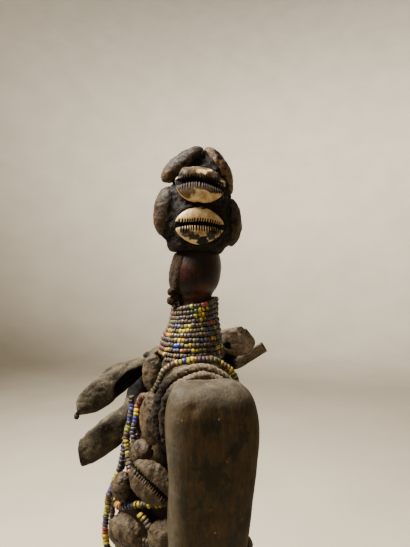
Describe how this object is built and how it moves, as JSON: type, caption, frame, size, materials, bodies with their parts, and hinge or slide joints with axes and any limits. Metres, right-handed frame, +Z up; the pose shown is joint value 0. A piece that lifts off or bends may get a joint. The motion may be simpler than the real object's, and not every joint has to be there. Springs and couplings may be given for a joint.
{
  "type": "namji doll",
  "caption": "Carved wooden namji doll with a resin cap set with cowrie shells, a bead collar, bead strands, cords, cowries and leather straps.",
  "frame": {"origin": "on the surface the doll stands on, under the middle of its bounding box", "axes": "+Z up, the doll faces -Y, its left side is +X"},
  "size_m": [0.0866, 0.0786, 0.2498],
  "materials": {
    "wood": "dark hardwood, polished by handling on the head, dusty and dry on the arms",
    "resin": "dark resin-like mass, lumpy, half gloss",
    "cowrie": "smooth shell, cream where clean, stained brown elsewhere",
    "worn_cowrie": "worn shell crusted with grey-brown dirt",
    "collar_beads": "small opaque glass beads, most of them dirt-brown",
    "strand_beads": "larger opaque glass beads in mixed colours",
    "cord": "grey-brown twisted plant fibre, matte",
    "fibre": "crusted fibre thong, rough and matte",
    "leather": "stiff old leather, olive-brown, dusty and ragged"
  },
  "bodies": {
    "root": {"figure": "wood", "cap": "resin", "cap_cowrie_left_upper": "cowrie", "cap_cowrie_left_lower": "cowrie", "cap_cowrie_right_upper": "cowrie", "cap_cowrie_right_lower": "cowrie", "cap_cowrie_front": "cowrie", "cap_cowrie_back": "cowrie", "cap_cowrie_crown_front": "cowrie", "cap_cowrie_crown_back": "cowrie", "head_thong": "fibre", "bead_collar": "collar_beads", "left_cord_inner": "cord", "right_cord_inner": "cord", "left_cord_outer": "cord", "right_cord_outer": "cord", "shoulder_beads": "strand_beads", "short_necklace": "strand_beads", "long_necklace": "strand_beads", "upper_waist_beads": "strand_beads", "lower_waist_beads": "strand_beads", "left_hip_beads": "strand_beads", "right_hip_beads": "strand_beads", "cowrie_left_shoulder": "worn_cowrie", "cowrie_left_chest": "worn_cowrie", "cowrie_left_side": "worn_cowrie", "cowrie_left_rib": "worn_cowrie", "cowrie_front_belly": "worn_cowrie", "cowrie_left_belly": "worn_cowrie", "cowrie_left_hip": "worn_cowrie", "cowrie_right_rib": "worn_cowrie", "cowrie_right_side": "worn_cowrie", "cowrie_right_belly": "worn_cowrie", "cowrie_front_low": "worn_cowrie", "cowrie_back_upper": "worn_cowrie", "cowrie_back_left": "worn_cowrie", "cowrie_back_right": "worn_cowrie", "upper_strap": "leather", "lower_strap": "leather"}
  },
  "joints": []
}
